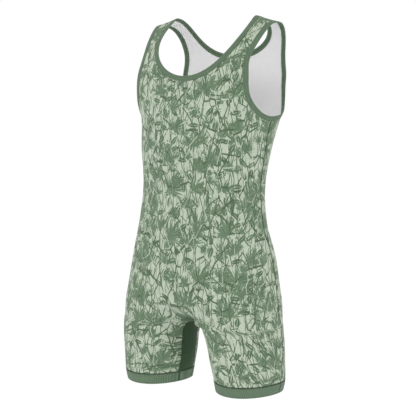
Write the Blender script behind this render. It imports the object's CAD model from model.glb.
"""Wrestling singlet, dressed: printed knit panels, plain gusset, ribbed bindings and hem bands, with
their stitching. Every piece lies on the form that the solids follow, with finer faces."""

import math

import bmesh
import bpy
import numpy as np
from bpy.props import FloatProperty, FloatVectorProperty, IntProperty, PointerProperty
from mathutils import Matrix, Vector


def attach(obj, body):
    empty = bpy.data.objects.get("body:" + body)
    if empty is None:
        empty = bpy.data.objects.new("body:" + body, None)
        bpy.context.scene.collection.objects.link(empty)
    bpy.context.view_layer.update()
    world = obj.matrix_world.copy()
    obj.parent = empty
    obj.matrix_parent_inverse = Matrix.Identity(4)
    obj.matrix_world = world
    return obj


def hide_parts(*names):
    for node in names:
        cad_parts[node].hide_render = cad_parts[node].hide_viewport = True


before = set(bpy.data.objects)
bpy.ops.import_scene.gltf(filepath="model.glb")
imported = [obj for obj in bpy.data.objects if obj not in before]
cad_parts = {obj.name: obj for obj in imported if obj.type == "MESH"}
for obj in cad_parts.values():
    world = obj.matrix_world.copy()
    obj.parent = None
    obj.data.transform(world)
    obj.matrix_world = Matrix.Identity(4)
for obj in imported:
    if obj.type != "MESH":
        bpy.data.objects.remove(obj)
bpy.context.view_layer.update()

bl_info = {
    "name": "Wrestling Singlet",
    "version": (1, 0, 0),
    "blender": (4, 5, 0),
    "location": "View3D > Sidebar > Singlet",
    "description": "Builds a wrestling singlet of printed knit, filled out as worn",
    "category": "Object",
}

MM = 0.001
QUARTER_TURN = math.pi / 2

# The form that the solids follow, in millimetres
CLOTH_WALL = 1.4
SHOULDER_CURVE_DEPTH = 200
SHOULDER_SEAM_DROP = 5
CROTCH_Z = -622
GUSSET_TOP_Z = -619
BAND_TOP_Z = -738
HEM_Z = -760
HEM_BOW = {"start_z": -665, "rise": 3.5}
SEAM_GAP = 0.3
NECK = {"half_width": 97, "front_drop": 116, "back_drop": 69, "front_fullness": 1.3, "back_fullness": 0.9}
ARMHOLE_DROP = 197
BINDING_WIDTH = 11
BAND = {"proud": 0.4, "wall": 2.4}
RIDGE = {"slope": 0.29, "level_x": 121, "peak": 20}
CHEST = {"hollow": 0.4, "tightness": 8, "flatness": 0.33}
UPPER_BACK = {"hollow": -0.15, "tightness": 4, "flatness": 2.9}

# Sections of the form, from the shoulders down. Columns: height, half width, depth in front of and
# behind the middle, place of the middle, how far the legs have parted, and the side seam's share of
# the way round from the middle of the front.
FORM_COLUMNS = ("z", "half", "front", "back", "middle", "split", "seam")
FORM = np.array([
    (0, 170, 120, 109, 0, 0, 1),
    (-60, 174, 123, 102, -8, 0, 1),
    (-120, 192, 108, 102, -20, 0, 1),
    (-200, 158, 111, 112, -24, 0, 0.94),
    (-265, 147, 104, 102, -39, 0, 0.98),
    (-340, 139, 94, 91, -47, 0, 1.01),
    (-415, 146, 98, 94, -51, 0, 1.025),
    (-480, 162, 106, 106, -48, 0.05, 1.05),
    (-545, 171, 107, 108, -49, 0.3, 1.07),
    (-590, 174, 99, 100, -50, 0.75, 1.08),
    (-608, 177, 95, 96, -51, 0.93, 1.08),
    (-622, 180, 92, 93, -52, 1, 1.085),
    (-638, 181, 90, 91, -52, 1.016, 1.09),
    (-665, 183, 88, 88, -50, 1.029, 1.09),
    (-700, 184, 83, 84, -48, 1.037, 1.06),
    (-738, 185, 77, 79, -47, 1.053, 1.02),
    (-765, 180, 72, 73, -47, 1.07, 1.015),
])

# Finished edge of the armhole and half width of the gusset, in equal turns along each
ARMHOLE_BACK = (0.68, 0.507, 0.481, 0.548, 0.617)
ARMHOLE_SHOULDER = 0.68
ARMHOLE_FRONT = (0.647, 0.592, 0.505, 0.548, 0.722)
GUSSET_HALF = (0, 0.045, 0.085, 0.1, 0.092, 0.093, 0.097, 0.101)

FRONT, BACK = -1, 1


def settings():
    return bpy.context.scene.singlet_cloth


# The form

# A spot on the form is a pair of shares: across is 0 in the middle and about 1 at the side, and turn is
# 0 on the shoulders, below 0 down the front and above 0 down the back. The step is for slopes.
SMALL_STEP = 1e-4


def smoothstep(x):
    x = np.clip(x, 0, 1)
    return x * x * (3 - 2 * x)


def column(name, z):
    z = np.asarray(z, float)
    heights, values = FORM[:, 0], FORM[:, FORM_COLUMNS.index(name)]
    last = len(heights) - 1
    i = np.clip(np.searchsorted(-heights, -z) - 1, 0, last - 1)
    before, after = np.maximum(i - 1, 0), np.minimum(i + 2, last)
    a, b = values[i], values[i + 1]
    length = heights[i + 1] - heights[i]
    slope_a = (b - values[before]) / (heights[i + 1] - heights[before])
    slope_b = (values[after] - a) / (heights[after] - heights[i])
    t = (z - heights[i]) / length
    bend = (1 - t) * (length * slope_a - (b - a))
    bend_back = t * (b - a - length * slope_b)
    return a + t * (b - a) + t * (1 - t) * (bend + bend_back)


def round_at(z, side):
    share = -np.asarray(z, float) / SHOULDER_CURVE_DEPTH
    curved = np.arccos(np.clip(1 - share, -1, 1))
    return side * np.where(share < 1, curved, QUARTER_TURN + share - 1) / QUARTER_TURN


def height_at(turn):
    turned = np.abs(turn) * QUARTER_TURN
    curve = 1 - np.cos(np.minimum(turned, QUARTER_TURN))
    return -SHOULDER_CURVE_DEPTH * (curve + np.maximum(turned - QUARTER_TURN, 0))


def section_shares(split, flatness, angle):
    sine, cosine = np.sin(angle), np.cos(angle)
    gap = np.sqrt(np.maximum(1 - 1 / np.maximum(split, 1), 0))
    whole = split < 0.5
    apart = split >= 1
    torso = np.clip(split, 0, 1)
    base = np.where(whole, 1, 4 * torso * (1 - torso))
    gain = np.where(whole, torso / np.maximum(1 - torso, 0.5), 4 * torso * torso)
    parting = torso ** 3
    x_torso = sine * np.sqrt(1 - parting + parting * sine * sine)
    y_torso = cosine * np.sqrt(base + (gain + flatness) * sine * sine)
    x_legs = gap + (1 - gap) * sine * sine
    return np.where(apart, x_legs, x_torso), np.where(apart, np.sin(2 * angle), y_torso)


def form_point(across, turn):
    across, turn = np.broadcast_arrays(np.asarray(across, float), np.asarray(turn, float))
    front = turn < 0
    side = np.where(front, FRONT, BACK)
    face = {key: np.where(front, CHEST[key], UPPER_BACK[key]) for key in CHEST}
    z = height_at(turn)
    rise = np.maximum(1 + z / SHOULDER_CURVE_DEPTH, 0)
    angle = across * QUARTER_TURN
    share_x, share_y = section_shares(column("split", z), face["flatness"] * rise, angle)
    x = column("half", z) * share_x
    depth = np.where(share_y * side < 0, column("front", z), column("back", z))
    dome = np.sqrt(np.maximum(1 - rise * rise, 0)) * (1 - face["hollow"] * rise ** face["tightness"])
    lift = rise ** RIDGE["peak"] * RIDGE["slope"] * (RIDGE["level_x"] - np.abs(x))
    bow = smoothstep((HEM_BOW["start_z"] - z) / (HEM_BOW["start_z"] - BAND_TOP_Z)) * np.cos(2 * angle) ** 2
    y = column("middle", z) + side * share_y * depth * dome
    return np.stack([x, y, z + lift + bow * HEM_BOW["rise"]], axis=-1)


def tangents(across, turn, step=SMALL_STEP):
    along = (form_point(across + step, turn) - form_point(across - step, turn)) / (2 * step)
    down = (form_point(across, turn + step) - form_point(across, turn - step)) / (2 * step)
    return along, down


def unit(vectors):
    return vectors / np.maximum(np.linalg.norm(vectors, axis=-1, keepdims=True), 1e-12)


# Share of a turn over which a normal is taken: about 1 mm of cloth, which steadies it at the crotch
NORMAL_STEP = 0.004


def normal_at(across, turn):
    along, down = tangents(across, turn, NORMAL_STEP)
    normal = unit(np.cross(along, down))
    at_crotch = (np.abs(across) < 1e-9) & (np.abs(height_at(turn) - CROTCH_Z) < 0.01)
    return np.where(at_crotch[..., None], np.array([0, 0, -1.0]), normal)


def point_at(across, turn, height):
    normal = normal_at(np.asarray(across, float), np.asarray(turn, float))
    return form_point(across, turn) + normal * np.asarray(height)[..., None]


def heading_at(curve, t):
    return unit(form_point(*curve(t + SMALL_STEP)) - form_point(*curve(t - SMALL_STEP)))


def equal_steps(curve, start, end, count):
    """Values of t at equal real lengths along a curve of spots."""
    t = np.linspace(start, end, 401)
    points = form_point(*curve(t))
    lengths = np.concatenate([[0], np.cumsum(np.linalg.norm(np.diff(points, axis=0), axis=1))])
    return np.interp(np.linspace(0, lengths[-1], count + 1), lengths, t)


def beside(curve, t, distance):
    """Spots at a real distance to the right of a curve, as seen from outside."""
    across, turn = curve(t)
    aside = np.cross(heading_at(curve, t), normal_at(across, turn)) * np.asarray(distance)[..., None]
    u, v = tangents(across, turn)
    dot = lambda a, b: np.einsum("...i,...i", a, b)
    uu, uv, vv, ua, va = dot(u, u), dot(u, v), dot(v, v), dot(u, aside), dot(v, aside)
    det = uu * vv - uv * uv
    return across + (ua * vv - va * uv) / det, turn + (va * uu - ua * uv) / det


# The cut: edges and seams as curves of spots

def neck_edge(t):
    t = np.asarray(t, float)
    front = t > 0
    drop = np.where(front, NECK["front_drop"], NECK["back_drop"])
    fullness = np.where(front, NECK["front_fullness"], NECK["back_fullness"])
    sine, cosine = np.sin(np.abs(t) * QUARTER_TURN), np.cos(np.abs(t) * QUARTER_TURN)
    z = -drop * sine ** 2
    x = NECK["half_width"] * cosine * np.sqrt(1 + fullness * sine ** 2)
    return np.arcsin(x / column("half", z)) / QUARTER_TURN, round_at(z, np.where(front, FRONT, BACK))


def smooth_stops(stops, turns):
    """A smooth curve through even stops, which has one stop more at each end."""
    stops = np.asarray(stops, float)
    i = np.clip(np.floor(turns).astype(int), 1, len(stops) - 3)
    t = turns - i
    before, here, there, after = stops[i - 1], stops[i], stops[i + 1], stops[i + 2]
    bend = (1 - t) * ((there - before) / 2 - (there - here))
    bend_back = t * (there - here - (after - here) / 2)
    return here + t * (there - here) + t * (1 - t) * (bend + bend_back)


def side_seam_across(z, side):
    seam = column("seam", z)
    return np.where(np.asarray(side) < 0, seam, 2 - seam)


def armhole_edge(t):
    t = np.asarray(t, float)
    z = -ARMHOLE_DROP * np.sin(t * QUARTER_TURN) ** 2
    back, front = (float(side_seam_across(-ARMHOLE_DROP, side)) for side in (BACK, FRONT))
    stops = [back, *ARMHOLE_BACK, ARMHOLE_SHOULDER, *ARMHOLE_FRONT, front]
    stops = [2 * back - stops[1], *stops, 2 * front - stops[-2]]
    across = smooth_stops(stops, (t + 1) * (len(stops) - 3) / 2 + 1)
    return across, round_at(z, np.where(t > 0, FRONT, BACK))


def side_seam(side):
    top = -ARMHOLE_DROP - BINDING_WIDTH - SEAM_GAP

    def spots(t):
        z = top + (BAND_TOP_Z - top) * np.asarray(t, float)
        return side_seam_across(z, side), round_at(z, side)
    return spots


def gusset_seam(side):
    stops = [-GUSSET_HALF[1], *GUSSET_HALF, 2 * GUSSET_HALF[-1] - GUSSET_HALF[-2]]

    def spots(t):
        t = np.asarray(t, float)
        z = GUSSET_TOP_Z + (BAND_TOP_Z - GUSSET_TOP_Z) * t * t
        across = np.sign(t) * smooth_stops(stops, np.abs(t) * (len(GUSSET_HALF) - 1) + 1)
        return across, round_at(z, side)
    return spots


def middle_line(side):
    drop = NECK["front_drop"] if side < 0 else NECK["back_drop"]
    top = -drop - BINDING_WIDTH - SEAM_GAP
    end = GUSSET_TOP_Z + SEAM_GAP / 2
    return lambda t: (np.zeros_like(t), round_at(top + (end - top) * t, side))


def shoulder_seam_t(drop):
    return -math.asin(math.sqrt(SHOULDER_SEAM_DROP / drop)) / QUARTER_TURN


def shoulder_seam(t):
    """From the neck to the armhole, a little behind the top of the shoulder."""
    neck = neck_edge(np.array(shoulder_seam_t(NECK["back_drop"])))
    arm = armhole_edge(np.array(shoulder_seam_t(ARMHOLE_DROP)))
    t = np.asarray(t, float)
    return neck[0] + (arm[0] - neck[0]) * t, neck[1] + (arm[1] - neck[1]) * t


# Meshes

def cloth_uv(across, turn):
    """Real place on the cloth in metres: round the body from the middle, and up from the hem. Cloth
    that faces the other leg counts only its width, so that the print isn't drawn out there."""
    across, turn = np.broadcast_arrays(across, turn)
    shares = np.linspace(0, 1, 33)
    path = form_point(across[..., None] * shares, np.repeat(turn[..., None], len(shares), axis=-1))
    step = np.diff(path, axis=-2)
    inwards = step[..., 1] * np.where(turn < 0, -1, 1)[..., None] > 0
    round_body = np.where(inwards, np.abs(step[..., 0]), np.linalg.norm(step, axis=-1)).sum(axis=-1)
    turns = np.linspace(-4.4, 4.4, 881)
    line = form_point(np.full_like(turns, 0.5), turns)
    down = np.concatenate([[0], np.cumsum(np.linalg.norm(np.diff(line, axis=0), axis=1))])
    down = np.abs(np.interp(turn, turns, down - np.interp(0, turns, down)))
    return np.stack([np.sign(across) * round_body, -down], axis=-1) * MM


def new_piece(name, part, materials, stands_for=()):
    """A finished mesh, in metres, of vertices, faces, uvs and each face's material."""
    vertices, faces, uvs, finish = part
    mesh = bpy.data.meshes.new(name)
    mesh.from_pydata((np.asarray(vertices) * MM).tolist(), [], faces)
    layer = mesh.uv_layers.new(name="cloth")
    corners = np.empty(len(mesh.loops), int)
    mesh.loops.foreach_get("vertex_index", corners)
    layer.data.foreach_set("uv", np.asarray(uvs)[corners].ravel())
    for material in materials:
        mesh.materials.append(material)
    mesh.polygons.foreach_set("material_index", np.asarray(finish, int))
    shaped = bmesh.new()
    shaped.from_mesh(mesh)
    bmesh.ops.remove_doubles(shaped, verts=shaped.verts, dist=0.01 * MM)
    bmesh.ops.recalc_face_normals(shaped, faces=shaped.faces)
    shaped.to_mesh(mesh)
    shaped.free()
    mesh.polygons.foreach_set("use_smooth", [True] * len(mesh.polygons))
    piece = bpy.data.objects.new(name, mesh)
    bpy.context.scene.collection.objects.link(piece)
    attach(piece, "root")
    if stands_for:
        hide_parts(*stands_for)
    return piece


OUTSIDE, INSIDE = 0, 1


def wall(grid, heights, thickness):
    """A wall of cloth over a grid of spots. The edge on the middle plane is left open for the
    other half."""
    across, turn = grid
    rows, columns = across.shape
    normals = normal_at(across, turn)
    outer = form_point(across, turn) + normals * heights[..., None]
    inner = outer - normals * np.broadcast_to(thickness, heights.shape)[..., None]
    uv = cloth_uv(across, turn).reshape(-1, 2)
    index = np.arange(rows * columns).reshape(rows, columns)
    below = rows * columns
    quads = np.stack([index[:-1, :-1], index[:-1, 1:], index[1:, 1:], index[1:, :-1]], axis=-1).reshape(-1, 4)
    faces = [*quads.tolist(), *(quads[:, [0, 3, 2, 1]] + below).tolist()]
    finish = [OUTSIDE] * len(quads) + [INSIDE] * len(quads)
    rim = [(0, j) for j in range(columns - 1)] + [(i, columns - 1) for i in range(rows - 1)]
    rim += [(rows - 1, j) for j in range(columns - 1, 0, -1)] + [(i, 0) for i in range(rows - 1, 0, -1)]
    for k, here in enumerate(rim):
        there = rim[(k + 1) % len(rim)]
        if abs(outer[here][0]) < 1e-4 and abs(outer[there][0]) < 1e-4:
            continue
        p, q = int(index[here]), int(index[there])
        faces.append([q, p, p + below, q + below])
        finish.append(OUTSIDE)
    vertices = np.concatenate([outer.reshape(-1, 3), inner.reshape(-1, 3)])
    return vertices, faces, np.concatenate([uv, uv]), finish


def ribbon(sections, uvs, closed):
    """A strip along a list of closed rings of points."""
    count, ring = sections.shape[:2]
    index = np.arange(count * ring).reshape(count, ring)
    here, there = (index, np.roll(index, -1, axis=0)) if closed else (index[:-1], index[1:])
    quads = np.stack([here, np.roll(here, -1, axis=1), np.roll(there, -1, axis=1), there], axis=-1)
    faces = quads.reshape(-1, 4).tolist()
    return sections.reshape(-1, 3), faces, uvs.reshape(-1, 2), [OUTSIDE] * len(faces)


def other_side(part):
    """The same piece on the wearer's other side. Its cloth isn't a mirror image."""
    vertices, faces, uvs, finish = part
    turned = [[face[0], *face[:0:-1]] for face in faces]
    return vertices * (-1, 1, 1), turned, uvs * (-1, 1), finish


def both(part, other):
    """Two parts as one mesh."""
    count = len(part[0])
    faces = part[1] + [[count + i for i in face] for face in other[1]]
    return np.concatenate([part[0], other[0]]), faces, np.concatenate([part[2], other[2]]), part[3] + other[3]


# The pieces

# A seam draws the cloth in. Places near an edge, in millimetres from it, the depth of the edge, and
# how far the dip reaches
NEAR_EDGE = np.array([0, 0.5, 1.1, 1.9, 3])
EDGE_DEPTH = 0.9
EDGE_REACH = 2.8
FAR_OFF = 99.0


def drawn_in(distance):
    return -EDGE_DEPTH * (1 - smoothstep(distance / EDGE_REACH))


def edge_shares(length, count):
    """Shares of a length, with close steps near both of its ends."""
    near = NEAR_EDGE / length
    return np.concatenate([near, np.linspace(near[-1], 1 - near[-1], count)[1:-1], 1 - near[::-1]])


# Rows of faces at detail 1, along an edge of a strap, the body and the inner leg, and columns across
STRAP_ROWS, BODY_ROWS, LEG_ROWS = 22, 15, 10
PANEL_COLUMNS, GUSSET_COLUMNS = 8, 6

# Rows from the shoulder seam to the top of the shoulder
SHOULDER_ROWS = 6


def strap_samples(edge, side, drop, count):
    seam = shoulder_seam_t(drop)
    if side == BACK:
        return equal_steps(edge, seam, -1, count)
    over = equal_steps(edge, seam, 0, SHOULDER_ROWS)
    return np.concatenate([over, equal_steps(edge, 0, 1, count - SHOULDER_ROWS)[1:]])


# Rows at detail 1 from the lowest point of the neck to the foot of the armhole
ARMHOLE_END_ROWS = {FRONT: 3, BACK: 12}

# The form turns sharply at the crotch. Rows from above it to below it that are drawn closer
CROTCH_ROWS = (3, 8)


def closer(values, first, last):
    """The values, with two more in each step from the first place to the last."""
    places = np.arange(len(values))
    between = np.arange(first, last, 1 / 3)
    return np.interp(np.concatenate([places[:first], between, places[last:]]), places, values)


def panel_edges(side, detail):
    """Inner and outer edge of the left half of a panel, and which rows' inner edge is a real one."""
    apart = BINDING_WIDTH + SEAM_GAP
    half = SEAM_GAP / 2
    neck_t = strap_samples(neck_edge, side, NECK["back_drop"], detail * STRAP_ROWS)
    neck = beside(neck_edge, neck_t, np.full(len(neck_t), -apart))
    neck[0][-1] = 0
    end_rows = ARMHOLE_END_ROWS[side] * detail
    body = detail * BODY_ROWS + end_rows
    above, below = CROTCH_ROWS
    middle_t = closer(np.linspace(0, 1, body + 1), body - above, body)
    middle = [values[1:] for values in middle_line(side)(middle_t)]
    leg_t = closer(equal_steps(gusset_seam(side), 0, 1, detail * LEG_ROWS), 0, below)
    leg = [values[1:] for values in beside(gusset_seam(side), leg_t, np.full(len(leg_t), side * half))]
    arm_t = strap_samples(armhole_edge, side, ARMHOLE_DROP, detail * STRAP_ROWS + end_rows)
    armhole = [values[:-1] for values in beside(armhole_edge, arm_t, np.full(len(arm_t), apart))]
    crotch = len(neck_t) + body - len(arm_t)
    seam_t = closer(np.linspace(0, 1, crotch + detail * LEG_ROWS + 1), crotch - above, crotch + below)
    seam = beside(side_seam(side), seam_t, np.full(len(seam_t), -side * half))
    inner = np.stack([np.concatenate(parts) for parts in zip(neck, middle, leg)])
    outer = np.stack([np.concatenate(parts) for parts in zip(armhole, seam)])
    is_edge = np.repeat([True, False, True], [len(neck_t), len(middle_t) - 1, len(leg_t) - 1])
    return inner, outer, is_edge


def rim_distance(points, lines):
    """Distance of each point of a grid from the nearest of some lines of points."""
    starts = np.concatenate([line[:-1] for line in lines])
    spans = np.concatenate([np.diff(line, axis=0) for line in lines])
    nearest = np.full(points.shape[:-1], FAR_OFF)
    for start, span in zip(starts, spans):
        out = points - start
        share = np.clip(out @ span / max(span @ span, 1e-9), 0, 1)
        nearest = np.minimum(nearest, np.linalg.norm(out - share[..., None] * span, axis=-1))
    return nearest


def panel_part(side):
    """A panel, with close rows and columns along the edges of each half."""
    detail = settings().detail
    inner, outer, is_edge = panel_edges(side, detail)
    near = NEAR_EDGE + SEAM_GAP / 2
    apart = [np.linalg.norm(form_point(*edge) - form_point(*edge[:, [end]]), axis=-1)
             for edge in (inner, outer) for end in (0, -1)]
    between = np.min(apart, axis=0) > near[-1] + 1

    def with_close_rows(edge):
        first, last = edge[:, [1]] - edge[:, [0]], edge[:, [-2]] - edge[:, [-1]]
        ends = form_point(*edge[:, [0, 1, -2, -1]])
        gaps = [np.linalg.norm(ends[0] - ends[1]), np.linalg.norm(ends[2] - ends[3])]
        above = edge[:, [0]] + first * near / gaps[0]
        below = edge[:, [-1]] + last * NEAR_EDGE[::-1] / gaps[1]
        return np.concatenate([above, edge[:, between], below], axis=1)

    inner, outer = with_close_rows(inner), with_close_rows(outer)
    close = [True] * len(NEAR_EDGE)
    is_edge = np.concatenate([close, is_edge[between], close])
    width = np.linalg.norm(form_point(*inner) - form_point(*outer), axis=-1)
    shares = np.stack([edge_shares(w, detail * PANEL_COLUMNS) for w in width])
    across = inner[0][:, None] + (outer[0] - inner[0])[:, None] * shares
    turn = inner[1][:, None] + (outer[1] - inner[1])[:, None] * shares
    points = form_point(across, turn)
    changes = np.flatnonzero(np.diff(is_edge)) + 1
    rims = [points[0], points[-1], points[:, -1], points[:changes[0], 0], points[changes[1]:, 0]]
    half = wall((across, turn), drawn_in(rim_distance(points, rims)), settings().cloth_wall / MM)
    vertices, faces, uvs, finish = both(half, other_side(half))
    return vertices, faces, uvs + PRINT_SHIFT[side], finish


# The panels are cut from two places of the print, this far apart in metres
PRINT_SHIFT = {FRONT: (0, 0), BACK: (0.37, 0.61)}

# Width of the gusset in millimetres from seam to seam, taken as even along it to place its columns
GUSSET_WIDTH = 56


def gusset_part():
    """The gusset, in rows from its front seam to its back one, from the crotch down each leg."""
    detail = settings().detail
    even = equal_steps(gusset_seam(FRONT), 0, 1, detail * LEG_ROWS)
    close = 1 - NEAR_EDGE[::-1] / (2 * (GUSSET_TOP_Z - BAND_TOP_Z))
    t = np.concatenate([even[even < close[0] - 0.005], close])
    share = np.interp(t, even, np.linspace(0, 1, len(even)))[:, None]
    seams = [beside(gusset_seam(side), t, np.full(len(t), -side * SEAM_GAP / 2)) for side in (FRONT, BACK)]
    middle_z = CROTCH_Z + (BAND_TOP_Z - CROTCH_Z) * share ** 2
    shares = edge_shares(GUSSET_WIDTH, detail * GUSSET_COLUMNS)[None, :]
    place = 2 * shares - 1
    front = place < 0
    seam_across = np.where(front, seams[0][0][:, None], seams[1][0][:, None])
    seam_z = np.where(front, height_at(seams[0][1])[:, None], height_at(seams[1][1])[:, None])
    seam_across[0] = 0
    z = middle_z + (seam_z - middle_z) * place ** 2
    turn = round_at(z, np.where(front, FRONT, BACK))
    to_seam = np.minimum(shares, 1 - shares) * GUSSET_WIDTH
    to_band = np.full(len(t), FAR_OFF)
    to_band[-len(NEAR_EDGE):] = NEAR_EDGE[::-1]
    nearest = np.minimum(to_seam, to_band[:, None])
    half = wall((np.abs(place) * seam_across, turn), drawn_in(nearest), settings().cloth_wall / MM)
    return both(half, other_side(half))


# A binding's section, going round it: distance from the finished edge and height, in millimetres.
# Two rows of stitches draw narrow channels in its face, and their loopers one wide one behind it.
STITCH_ROWS = (3.6, 8)
LOOPER_ROW = 5.9
BINDING_SECTION = (
    (11, -0.9), (10.7, -0.2), (10.1, 0.35), (9.2, 0.6), (8.5, 0.55), (8, 0.1), (7.5, 0.55), (6.6, 0.7),
    (5, 0.7), (4.1, 0.55), (3.6, 0.1), (3.1, 0.55), (2.2, 0.65), (1.2, 0.5), (0.5, 0.1), (0.1, -0.4),
    (0, -0.8), (0.1, -1.2), (0.5, -1.7), (1.2, -2), (3, -2.15), (4.6, -2.1), (5.2, -1.6), (5.9, -1.1),
    (6.6, -1.6), (7.2, -2.1), (8.5, -2.15), (10.4, -2.1), (11, -1.5),
)


def binding_part(edge, t, sign, closed):
    sections = []
    for distance, height in BINDING_SECTION:
        across, turn = beside(edge, t, np.full(len(t), sign * distance))
        sections.append(point_at(across, turn, np.full(len(t), height)))
    sections = np.stack(sections, axis=1)
    along = np.cumsum(np.linalg.norm(np.diff(sections[:, 8], axis=0, prepend=sections[:1, 8]), axis=-1))
    wide = np.array([distance for distance, _ in BINDING_SECTION])
    uvs = np.stack(np.broadcast_arrays(along[:, None], wide[None, :]), axis=-1) * MM
    if not closed:
        sections[0, :, 0] = 0
        sections[-1, :, 0] = 0
    return ribbon(sections, uvs, closed)


def neck_line(detail):
    front, back = [strap_samples(neck_edge, side, NECK["back_drop"], detail * STRAP_ROWS)
                   for side in (FRONT, BACK)]
    return np.concatenate([front[::-1], back[1:]])


def armhole_line(detail):
    rows = {side: detail * (STRAP_ROWS + ARMHOLE_END_ROWS[side]) for side in (FRONT, BACK)}
    front, back = [strap_samples(armhole_edge, side, ARMHOLE_DROP, rows[side]) for side in (FRONT, BACK)]
    return np.concatenate([front[::-1], back[1:-1]])


# A hem band, in millimetres: its row of stitches above the fold, the depth and half width of the
# channel that they draw, the fold's height, the length of faces at detail 1 and the least thickness
HEM_STITCH = 3.2
HEM_CHANNEL = 0.45
FOLD_HEIGHT = 1.2
BAND_FACE = 16
THINNEST = 0.2


def band_part(start, end, side):
    """A piece of a hem band, from seam to seam, with a round fold and a channel along its stitches."""
    detail = settings().detail
    height = BAND_TOP_Z - SEAM_GAP - HEM_Z
    channel = HEM_STITCH + np.array([0.6, 0, -0.6])
    fold = np.array([2, FOLD_HEIGHT, 0.6, 0.2, 0])
    above = np.concatenate([height - NEAR_EDGE, np.linspace(height - 5, HEM_STITCH + 2, 4), channel, fold])
    turn = round_at(HEM_Z + above, side)[:, None]
    ends = form_point(np.array([start, (start + end) / 2, end]), turn[0])
    length = np.linalg.norm(np.diff(ends, axis=0), axis=1).sum()
    shares = edge_shares(length, max(int(length / BAND_FACE * detail), 6))[None, :]
    to_seam = np.minimum(np.minimum(shares, 1 - shares) * length, (height - above)[:, None])
    rise = BAND["proud"] + drawn_in(to_seam)
    drawn = HEM_CHANNEL * np.exp(-((above - HEM_STITCH) / HEM_CHANNEL) ** 2)[:, None]
    from_fold = 1 - np.clip(above / FOLD_HEIGHT, 0, 1)
    rounding = BAND["wall"] / 2 * (1 - np.sqrt(1 - from_fold ** 2))[:, None]
    thickness = np.maximum(BAND["wall"] - 2 * rounding - drawn, THINNEST)
    across = start + (end - start) * shares
    return wall(np.broadcast_arrays(across, turn), rise - drawn - rounding, thickness)


def band_spans():
    depth_round = column("front", BAND_TOP_Z) * 2 * QUARTER_TURN
    trim = SEAM_GAP / 2 / depth_round
    share = GUSSET_HALF[-1]
    seam = float(column("seam", BAND_TOP_Z))
    return {
        "hem_band_front": (share + trim, seam - trim, FRONT),
        "hem_band_back": (share + trim, 2 - seam - trim, BACK),
        "hem_band_inner": (-share + trim, share - trim, FRONT),
    }


# Stitches

# One stitch is a drop of thread: places along it, and how thick it is there
STITCH_SHAPE = ((-0.5, 0), (-0.32, 0.8), (0.32, 0.8), (0.5, 0))

# A thread's height as a share of its width, since it is pressed flat
THREAD_HEIGHT = 0.7


def stitches(curve, start, end, height, pitch, length, thread, slant=0.0):
    """Stitches along a curve of spots, at equal real steps. A slant turns them from the curve's
    line, one to the left and the next to the right."""
    fine = np.linspace(start, end, 801)
    run = np.linalg.norm(np.diff(form_point(*curve(fine)), axis=0), axis=1).sum()
    count = max(int(run / pitch), 2)
    t = equal_steps(curve, start, end, 2 * count)[1::2]
    across, turn = curve(t)
    centre = point_at(across, turn, np.full(len(t), height))
    heading = heading_at(curve, t)
    up = normal_at(across, turn)
    aside = np.cross(up, heading)
    turned = np.where(np.arange(len(t)) % 2, slant, -slant)[:, None]
    along = heading * np.cos(turned) + aside * np.sin(turned)
    aside = np.cross(up, along)
    rings = []
    for place, thick in STITCH_SHAPE:
        for k in range(4):
            corner = QUARTER_TURN * k
            out = aside * math.cos(corner) + up * math.sin(corner) * THREAD_HEIGHT
            rings.append(centre + along * place * length + out * thick * thread / 2)
    points = np.stack(rings, axis=1)
    base = (np.arange(len(t)) * len(rings))[:, None, None]
    here = np.arange(4 * (len(STITCH_SHAPE) - 1)).reshape(-1, 4)
    beyond = np.roll(here, -1, axis=1)
    one = np.stack([here, beyond, beyond + 4, here + 4], axis=-1).reshape(-1, 4)
    faces = (one + base).reshape(-1, 4).tolist()
    uvs = np.zeros((points.shape[0] * points.shape[1], 2))
    return points.reshape(-1, 3), faces, uvs, [OUTSIDE] * len(faces)


def joined(parts):
    whole = parts[0]
    for part in parts[1:]:
        whole = both(whole, part)
    return whole


# Kinds of stitch: millimetres, with the slant in radians
SEAM_STITCH = {"height": -0.1, "pitch": 1.4, "length": 4.8, "thread": 1.3, "slant": 1.0}
COVER_STITCH = {"height": -2.2, "pitch": 0.9, "length": 2, "thread": 0.7, "slant": 0.9}
ROW_STITCH = {"height": 0.2, "pitch": 3.2, "length": 2.6, "thread": 0.5}
LOOPER_STITCH = {"height": -1.35, "pitch": 2, "length": 2.2, "thread": 0.9, "slant": 0.5}


def level_ring(z):
    return lambda t: (np.asarray(t, float), np.broadcast_to(round_at(z, FRONT), np.shape(t)).astype(float))


def leg_seam_through_band(share, side):
    height = HEM_Z - BAND_TOP_Z
    return lambda t: (np.full(np.shape(t), share), round_at(BAND_TOP_Z + height * np.asarray(t), side))


def seam_stitch_parts():
    """Flat seams: at the sides, round the gusset, on the shoulders and over the bands."""
    side_share = float(column("seam", BAND_TOP_Z))
    band = dict(SEAM_STITCH, height=0.15)
    left = [
        stitches(side_seam(BACK), 0, 1, **SEAM_STITCH),
        stitches(shoulder_seam, 0.15, 0.85, **SEAM_STITCH),
        stitches(level_ring(BAND_TOP_Z - SEAM_GAP / 2), -1, 1, **SEAM_STITCH),
        stitches(leg_seam_through_band(side_share, FRONT), 0.05, 0.95, **band),
    ]
    for side in (FRONT, BACK):
        left.append(stitches(leg_seam_through_band(GUSSET_HALF[-1], side), 0.05, 0.95, **band))
        left.append(stitches(gusset_seam(side), 0.01, 1, **SEAM_STITCH))
    left = joined(left)
    return both(left, other_side(left))


def seam_cover_parts():
    """Pale thread that covers the flat seams behind, as their loopers lay it."""
    left = joined([stitches(seam, *span, **COVER_STITCH) for seam, span in (
        (side_seam(BACK), (0, 1)), (shoulder_seam, (0.28, 0.72)),
    )])
    return both(left, other_side(left))


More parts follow.
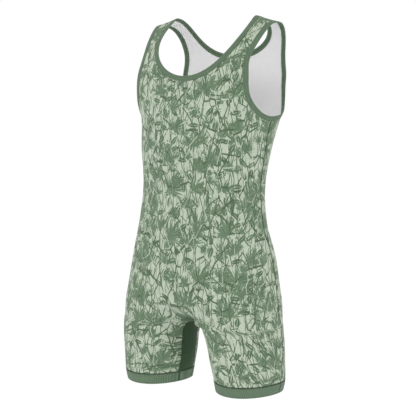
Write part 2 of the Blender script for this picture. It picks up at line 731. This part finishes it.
def row_stitch_parts():
    """Rows of stitches that hold the bindings and the hems down, seen on both faces."""
    parts = []
    rows = [(distance, ROW_STITCH) for distance in STITCH_ROWS] + [(LOOPER_ROW, LOOPER_STITCH)]
    for distance, stitch in rows:
        neck = lambda t, d=distance: beside(neck_edge, t, np.full(len(t), -d))
        arm = lambda t, d=distance: beside(armhole_edge, t, np.full(len(t), d))
        parts.append(stitches(neck, -1, 1, **stitch))
        parts.append(stitches(arm, -0.999, 0.999, **stitch))
    parts.append(stitches(level_ring(HEM_Z + HEM_STITCH), -1, 1, **dict(ROW_STITCH, height=0)))
    left = joined(parts)
    return both(left, other_side(left))


# Materials

def linear(colour):
    """Linear colour of an sRGB hex value."""
    parts = [int(colour[i:i + 2], 16) / 255 for i in (1, 3, 5)]
    return [*[c / 12.92 if c <= 0.04045 else ((c + 0.055) / 1.055) ** 2.4 for c in parts], 1]


def node(tree, kind, values=None, inputs=None):
    """Adds a node with its own values, and its inputs as values or as links from a node or socket."""
    made = tree.nodes.new(kind)
    for key, value in (values or {}).items():
        setattr(made, key, value)
    for key, value in (inputs or {}).items():
        if isinstance(value, bpy.types.Node):
            value = next(socket for socket in value.outputs if socket.enabled)
        if isinstance(value, bpy.types.NodeSocket):
            tree.links.new(value, made.inputs[key])
        else:
            made.inputs[key].default_value = value
    return made


def maths(tree, operation, *values):
    return node(tree, "ShaderNodeMath", {"operation": operation}, dict(enumerate(values)))


def vectors(tree, operation, *values):
    return node(tree, "ShaderNodeVectorMath", {"operation": operation}, dict(enumerate(values)))


def scaled(tree, vector, scale):
    return node(tree, "ShaderNodeVectorMath", {"operation": "SCALE"}, {0: vector, "Scale": scale})


def ramp(tree, value, start, end, low=0, high=1):
    """Runs from low to high while the value runs from start to end."""
    return node(tree, "ShaderNodeMapRange", inputs={
        "Value": value, "From Min": start, "From Max": end, "To Min": low, "To Max": high})


def noise(tree, place, scale, detail=2, roughness=0.5):
    return node(tree, "ShaderNodeTexNoise", inputs={
        "Vector": place, "Scale": scale, "Detail": detail, "Roughness": roughness})


def scattered(tree, place, apart, randomness):
    """Cells of the given size in metres, over the flat cloth."""
    return node(tree, "ShaderNodeTexVoronoi", {"voronoi_dimensions": "2D"}, {
        "Vector": place, "Scale": 1 / apart, "Randomness": randomness})


def laid_out(tree, cloth, turn, across, along):
    """The cloth turned, and counted in steps of the given sizes in metres."""
    return node(tree, "ShaderNodeMapping", inputs={
        "Vector": cloth, "Rotation": (0, 0, turn), "Scale": (1 / across, 1 / along, 1)})


def new_material(name):
    made = bpy.data.materials.new(name)
    made.use_nodes = True
    made.node_tree.nodes.clear()
    return made, made.node_tree


# Spacing of the knit's ribs and courses of loops, and of the bindings' ribs, in metres. Fine warp knit
# has ribs every 0.6 mm; they are drawn three times as wide, to show when the whole garment is seen.
WALE = 0.0018
COURSE = 0.0015
RIB = 0.0036
WAVE_SCALE = math.pi / 10


def knit_height(tree, cloth, wale, course):
    """Height of the loops: ribs up the cloth, crossed by courses."""
    ribs, rows = [
        node(tree, "ShaderNodeTexWave", {"wave_type": "BANDS", "bands_direction": axis},
             {"Vector": cloth, "Scale": WAVE_SCALE / size})
        for axis, size in (("X", wale), ("Y", course))
    ]
    half = maths(tree, "MULTIPLY", rows.outputs[1], 0.4)
    return maths(tree, "ADD", ribs.outputs[1], half)


def knit_surface(tree, colour, height, depth, roughness=0.85, sheen=0.08):
    bump = node(tree, "ShaderNodeBump", inputs={"Height": height, "Strength": 0.6, "Distance": depth})
    shader = node(tree, "ShaderNodeBsdfPrincipled", inputs={
        "Base Color": colour, "Normal": bump, "Roughness": roughness, "Sheen Weight": sheen,
        "Sheen Roughness": 0.5, "Specular IOR Level": 0.2,
    })
    node(tree, "ShaderNodeOutputMaterial", inputs={"Surface": shader})


def blend(tree, share, below, above):
    """The colour above laid over the colour below, by its share."""
    return node(tree, "ShaderNodeMix", {"data_type": "RGBA"}, {0: share, 6: below, 7: above})


def grass_tufts(tree, cloth, apart, reach, sparse):
    """Where fans of narrow blades stand, one to a cell of the given size in metres, and which of
    their blades are pale."""
    cell = scattered(tree, cloth, apart, 0.9)
    chance = cell.outputs["Color"]
    out = vectors(tree, "SUBTRACT", cloth, cell.outputs["Position"])
    far = vectors(tree, "LENGTH", out)
    heading = vectors(tree, "NORMALIZE", out)
    lean = vectors(tree, "NORMALIZE", vectors(tree, "MULTIPLY_ADD", chance, (3.2, 0, 0), (-1.6, 1, 0)))
    facing = vectors(tree, "DOT_PRODUCT", heading, lean)
    fan = ramp(tree, facing, -0.5, 0.6, 0.2, 1)
    turned = scaled(tree, heading, 4.5)
    spread = vectors(tree, "MULTIPLY_ADD", chance, (40, 40, 40), turned)
    blades = noise(tree, spread, 1, 4, 0.75)
    length = maths(tree, "MULTIPLY", ramp(tree, blades, 0.36, 0.64, 0.15 * reach, reach), fan)
    inside = maths(tree, "SUBTRACT", length, far)
    fray = ramp(tree, noise(tree, cloth, 380), 0, 1, -0.011, 0.011)
    inside = maths(tree, "ADD", inside, fray)
    there = node(tree, "ShaderNodeSeparateColor", inputs={0: chance})
    there = maths(tree, "GREATER_THAN", there.outputs[2], sparse)
    tuft = maths(tree, "MULTIPLY", ramp(tree, inside, 0, 0.0014), there)
    pale = ramp(tree, noise(tree, spread, 2.6, 1), 0.5, 0.62)
    return tuft, pale


def small_leaves(tree, cloth, apart, half_length, half_width):
    """Where pointed oval leaves lie, turned every way, one to a cell."""
    cell = scattered(tree, cloth, apart, 0.8)
    out = vectors(tree, "SUBTRACT", cloth, cell.outputs["Position"])
    chance = node(tree, "ShaderNodeSeparateColor", inputs={0: cell.outputs["Color"]})
    angle = maths(tree, "MULTIPLY", chance, 4 * QUARTER_TURN)
    turned = node(tree, "ShaderNodeVectorRotate", {"rotation_type": "Z_AXIS"},
                  {"Vector": out, "Angle": angle})
    shares = vectors(tree, "MULTIPLY", turned, (1 / half_length, 1 / half_width, 0))
    parts = node(tree, "ShaderNodeSeparateXYZ", inputs={0: shares})
    along = maths(tree, "POWER", parts.outputs[0], 2)
    aside = maths(tree, "ABSOLUTE", parts.outputs[1])
    rim = maths(tree, "ADD", along, aside)
    vein = ramp(tree, aside, 0.02, 0.14)
    there = maths(tree, "GREATER_THAN", chance.outputs[1], 0.35)
    leaf = maths(tree, "MULTIPLY", ramp(tree, rim, 1.15, 0.85), vein)
    return maths(tree, "MULTIPLY", leaf, there)


def stems(tree, cloth, across, along, turn, width, shown):
    """Where thin stems run. They part and meet like cell walls of the given size in metres."""
    bent = noise(tree, cloth, 30, 3)
    bend = vectors(tree, "MULTIPLY_ADD", bent.outputs["Color"], (0.009, 0.009, 0), cloth)
    laid = laid_out(tree, bend, turn, across, along)
    walls = {"voronoi_dimensions": "2D", "feature": "DISTANCE_TO_EDGE"}
    edge = node(tree, "ShaderNodeTexVoronoi", walls, {"Vector": laid, "Scale": 1})
    half = width / across / 2
    stem = ramp(tree, edge, 1.5 * half, 0.5 * half)
    there = ramp(tree, noise(tree, laid, 1.7, 3), shown, shown + 0.03)
    return maths(tree, "MULTIPLY", stem, there)


def reed_beds(tree, cloth, across, along, turn, share, stroke):
    """Upright patches of broken strokes, of the given size in metres."""
    bed = noise(tree, laid_out(tree, cloth, turn, across, along), 1, 5, 0.6)
    strokes = noise(tree, laid_out(tree, cloth, turn, stroke, stroke / 0.12), 1, 3, 0.6)
    drawn = maths(tree, "MULTIPLY_ADD", strokes, 0.5, bed)
    return ramp(tree, drawn, share, share + 0.03)


def grass_print(tree, cloth):
    """A design of grass tufts, leaves and reed stems in greens, at a scale of a few centimetres."""
    mottled = ramp(tree, noise(tree, cloth, 60, 6, 0.75), 0.36, 0.48)
    colour = blend(tree, mottled, linear(GROUND_LOW), linear(GROUND))
    for across, along, turn, share, stroke, dye in (
        (0.034, 0.16, 0.05, 0.86, 0.0026, MIDDLE),
        (0.028, 0.14, -0.12, 0.87, 0.0020, DARK),
    ):
        colour = blend(tree, reed_beds(tree, cloth, across, along, turn, share, stroke), colour, linear(dye))
    colour = blend(tree, small_leaves(tree, cloth, 0.025, 0.013, 0.0048), colour, linear(DARK))
    colour = laid_stems(tree, cloth, colour, (
        (0.030, 0.08, 0.5, 0.0012, 0.46, PALE),
        (0.026, 0.10, -0.2, 0.0014, 0.40, DARKEST),
        (0.022, 0.06, 1.2, 0.0012, 0.40, DARKEST),
        (0.017, 0.04, 0.6, 0.0009, 0.38, DARKEST),
    ))
    for apart, reach, sparse in ((0.085, 0.052, 0.05), (0.058, 0.036, 0.2), (0.038, 0.022, 0.35)):
        tuft, pale = grass_tufts(tree, cloth, apart, reach, sparse)
        blades = blend(tree, pale, linear(DARK), linear(MIDDLE))
        colour = blend(tree, tuft, colour, blades)
    return laid_stems(tree, cloth, colour, (
        (0.022, 0.05, -0.9, 0.0010, 0.48, PALE),
        (0.026, 0.07, 0.9, 0.0012, 0.42, DARKEST),
    ))


def laid_stems(tree, cloth, colour, layers):
    for across, along, turn, width, shown, dye in layers:
        colour = blend(tree, stems(tree, cloth, across, along, turn, width, shown), colour, linear(dye))
    return colour


# Dyes of the print
GROUND, GROUND_LOW, PALE = "#b8c4b0", "#a3b19b", "#bdc9b5"
MIDDLE, DARK, DARKEST = "#7c9177", "#5d745a", "#4e6349"


def printed_warp_knit():
    """Polyester and elastane warp knit, its face printed with dye: matt, with fine ribs of loops."""
    made, tree = new_material("dye_printed_warp_knit")
    cloth = node(tree, "ShaderNodeUVMap", {"uv_map": "cloth"}).outputs[0]
    drawn = scaled(tree, cloth, 1 / settings().print_scale)
    knit_surface(tree, grass_print(tree, drawn), knit_height(tree, cloth, WALE, COURSE), 0.0002)
    return made


def plain_knit(name, colour, wale, course, depth, shade, uneven_dye):
    """The same yarns undyed or in one colour, with shade between their ribs."""
    made, tree = new_material(name)
    cloth = node(tree, "ShaderNodeUVMap", {"uv_map": "cloth"}).outputs[0]
    loops = knit_height(tree, cloth, wale, course)
    worn = maths(tree, "MULTIPLY_ADD", loops, shade, noise(tree, cloth, 90, 4))
    uneven = 0.25 * shade + uneven_dye
    tone = ramp(tree, worn, 0, 1 + shade, 1 - uneven, 1 + uneven)
    knit_surface(tree, scaled(tree, colour[:3], tone), loops, depth)
    return made


def thread(name, colour):
    """Textured polyester thread: soft, with a dull gleam."""
    made, tree = new_material(name)
    place = node(tree, "ShaderNodeTexCoord").outputs["Object"]
    knit_surface(tree, colour, noise(tree, place, 1500), 0.0001, 0.6, 0.3)
    return made


# Settings, operators and panel


def colour_setting(name, description, default):
    return FloatVectorProperty(
        name=name, description=description, subtype="COLOR", size=4, min=0, max=1, default=linear(default),
    )


class SingletCloth(bpy.types.PropertyGroup):
    """What a user would change"""
    detail: IntProperty(
        name="Detail", description="Faces for each face of the solid, along a side", default=3, min=1, max=6,
    )
    cloth_wall: FloatProperty(
        name="Cloth", description="Thickness of the panels and the gusset", default=CLOTH_WALL * MM,
        min=0.001, max=0.003, unit="LENGTH",
    )
    print_scale: FloatProperty(
        name="Print Scale", description="Size of the print's motifs, as a share of their own", default=1,
        min=0.25, max=4,
    )
    plain: colour_setting("Gusset", "Colour of the gusset", "#334e32")
    rib: colour_setting("Rib", "Colour of the bindings and hem bands", "#5f735d")
    inside: colour_setting("Inside", "Colour of the unprinted inside", "#f2f2f2")
    stitch: colour_setting("Thread", "Colour of the thread", "#2e442e")


def rib_material():
    made = bpy.data.materials.get("ribbed_elastane_knit")
    return made or plain_knit("ribbed_elastane_knit", settings().rib, RIB, COURSE, 0.0003, 1.0, 0.1)


class SINGLET_OT_panels(bpy.types.Operator):
    """Adds the front and back panels of printed knit"""
    bl_idname = "singlet.panels"
    bl_label = "Add Panels"

    def execute(self, context):
        finishes = [
            printed_warp_knit(),
            plain_knit("unprinted_warp_knit", settings().inside, WALE, COURSE, 0.00002, 0.02, 0.03),
        ]
        for name, side in (("front_panel", FRONT), ("back_panel", BACK)):
            piece = new_piece(name + "_cloth", panel_part(side), finishes, [name])
        return {"FINISHED"}


class SINGLET_OT_gusset(bpy.types.Operator):
    """Adds the plain gusset from leg to leg over the crotch"""
    bl_idname = "singlet.gusset"
    bl_label = "Add Gusset"

    def execute(self, context):
        finish = plain_knit("plain_warp_knit", settings().plain, WALE, COURSE, 0.0002, 0.1, 0.2)
        piece = new_piece("crotch_gusset_cloth", gusset_part(), [finish] * 2, ["crotch_gusset"])
        return {"FINISHED"}


class SINGLET_OT_bindings(bpy.types.Operator):
    """Adds the ribbed bindings of the neck and the armholes"""
    bl_idname = "singlet.bindings"
    bl_label = "Add Bindings"

    def execute(self, context):
        detail = settings().detail
        half = binding_part(neck_edge, neck_line(detail), -1, False)
        parts = {"neck_binding": both(half, other_side(half))}
        loop = binding_part(armhole_edge, armhole_line(detail), 1, True)
        parts["armhole_binding_left"] = loop
        parts["armhole_binding_right"] = other_side(loop)
        for name, part in parts.items():
            piece = new_piece(name + "_cloth", part, [rib_material()], [name])
        return {"FINISHED"}


class SINGLET_OT_hem_bands(bpy.types.Operator):
    """Adds the ribbed bands at the legs, each cut in three"""
    bl_idname = "singlet.hem_bands"
    bl_label = "Add Hem Bands"

    def execute(self, context):
        for name, (start, end, side) in band_spans().items():
            left = band_part(start, end, side)
            for wearer_side, part in (("left", left), ("right", other_side(left))):
                node_name = f"{name}_{wearer_side}"
                piece = new_piece(node_name + "_cloth", part, [rib_material()] * 2, [node_name])
        return {"FINISHED"}


class SINGLET_OT_stitching(bpy.types.Operator):
    """Adds the stitches of the flat seams, and the rows that hold the bindings and hems"""
    bl_idname = "singlet.stitching"
    bl_label = "Add Stitching"

    def execute(self, context):
        finish = thread("textured_polyester_thread", settings().stitch)
        new_piece("seam_stitches", seam_stitch_parts(), [finish])
        new_piece("row_stitches", row_stitch_parts(), [finish])
        undyed = thread("undyed_polyester_thread", settings().inside)
        new_piece("seam_covers", seam_cover_parts(), [undyed])
        return {"FINISHED"}


# Height of the floor under the garment, in metres
FLOOR_Z = -1.1

# Name, place, what it points at, size in metres and power in watts
LIGHTS = (
    ("front_softbox", (-0.6, -3.0, 1.2), (0, 0, -0.4), 2.0, 8),
    ("side_softbox", (3.0, -1.0, 0.8), (0, 0, -0.4), 2.0, 4),
)

# Camera matched to the photo: lens and sensor in millimetres, place in metres, angles in degrees
CAMERA = {"lens": 107.14, "sensor": 36, "place": (1.4396, -2.1652, -0.1465), "tilt": 84.6, "round": 34}


def add_floor():
    """A floor of matt white paint that glows faintly, to stay as white as the photo's ground."""
    bpy.ops.mesh.primitive_plane_add(size=40, location=(0, 0, FLOOR_Z))
    floor = bpy.context.object
    floor.name = "studio_floor"
    surface, tree = new_material("matt_white_paint")
    grain = node(tree, "ShaderNodeTexNoise", inputs={"Scale": 400})
    bump = node(tree, "ShaderNodeBump", inputs={"Height": grain, "Distance": 0.0001})
    shader = node(tree, "ShaderNodeBsdfPrincipled", inputs={
        "Base Color": linear("#fafafa"), "Roughness": 0.9, "Normal": bump,
        "Emission Color": (1, 1, 1, 1), "Emission Strength": 0.06,
    })
    node(tree, "ShaderNodeOutputMaterial", inputs={"Surface": shader})
    floor.data.materials.append(surface)


def add_lights():
    world = bpy.data.worlds.new("soft_white_room")
    world.use_nodes = True
    background = world.node_tree.nodes["Background"]
    background.inputs[0].default_value = (1, 1, 1, 1)
    background.inputs[1].default_value = 1
    bpy.context.scene.world = world
    bpy.context.scene.view_settings.view_transform = "Standard"
    for name, place, aim, size, power in LIGHTS:
        bpy.ops.object.light_add(type="AREA", location=place)
        lamp = bpy.context.object
        lamp.name = name
        lamp.data.size = size
        lamp.data.energy = power
        lamp.rotation_euler = (Vector(aim) - Vector(place)).to_track_quat("-Z", "Y").to_euler()


def add_camera():
    data = bpy.data.cameras.new("camera")
    data.lens = CAMERA["lens"]
    data.sensor_width = CAMERA["sensor"]
    camera = bpy.data.objects.new("camera", data)
    camera.location = CAMERA["place"]
    camera.rotation_euler = (math.radians(CAMERA["tilt"]), 0, math.radians(CAMERA["round"]))
    bpy.context.scene.collection.objects.link(camera)
    bpy.context.scene.camera = camera


class SINGLET_OT_stage(bpy.types.Operator):
    """Adds the floor, the lights and the camera"""
    bl_idname = "singlet.stage"
    bl_label = "Add Stage"

    def execute(self, context):
        add_floor()
        add_lights()
        add_camera()
        return {"FINISHED"}


class SINGLET_PT_panel(bpy.types.Panel):
    """Lists the settings and the steps"""
    bl_label = "Wrestling Singlet"
    bl_idname = "SINGLET_PT_panel"
    bl_space_type = "VIEW_3D"
    bl_region_type = "UI"
    bl_category = "Singlet"

    def draw(self, context):
        for name in SingletCloth.__annotations__:
            self.layout.prop(settings(), name)
        for operator in STEPS:
            self.layout.operator(operator.bl_idname)


STEPS = (
    SINGLET_OT_panels, SINGLET_OT_gusset, SINGLET_OT_bindings, SINGLET_OT_hem_bands, SINGLET_OT_stitching,
    SINGLET_OT_stage,
)
CLASSES = (SingletCloth, *STEPS, SINGLET_PT_panel)


def register():
    for item in CLASSES:
        bpy.utils.register_class(item)
    bpy.types.Scene.singlet_cloth = PointerProperty(type=SingletCloth)


def unregister():
    del bpy.types.Scene.singlet_cloth
    for item in reversed(CLASSES):
        bpy.utils.unregister_class(item)


def main():
    register()
    bpy.ops.singlet.panels()
    bpy.ops.singlet.gusset()
    bpy.ops.singlet.bindings()
    bpy.ops.singlet.hem_bands()
    bpy.ops.singlet.stitching()
    bpy.ops.singlet.stage()


if __name__ == "__main__":
    main()
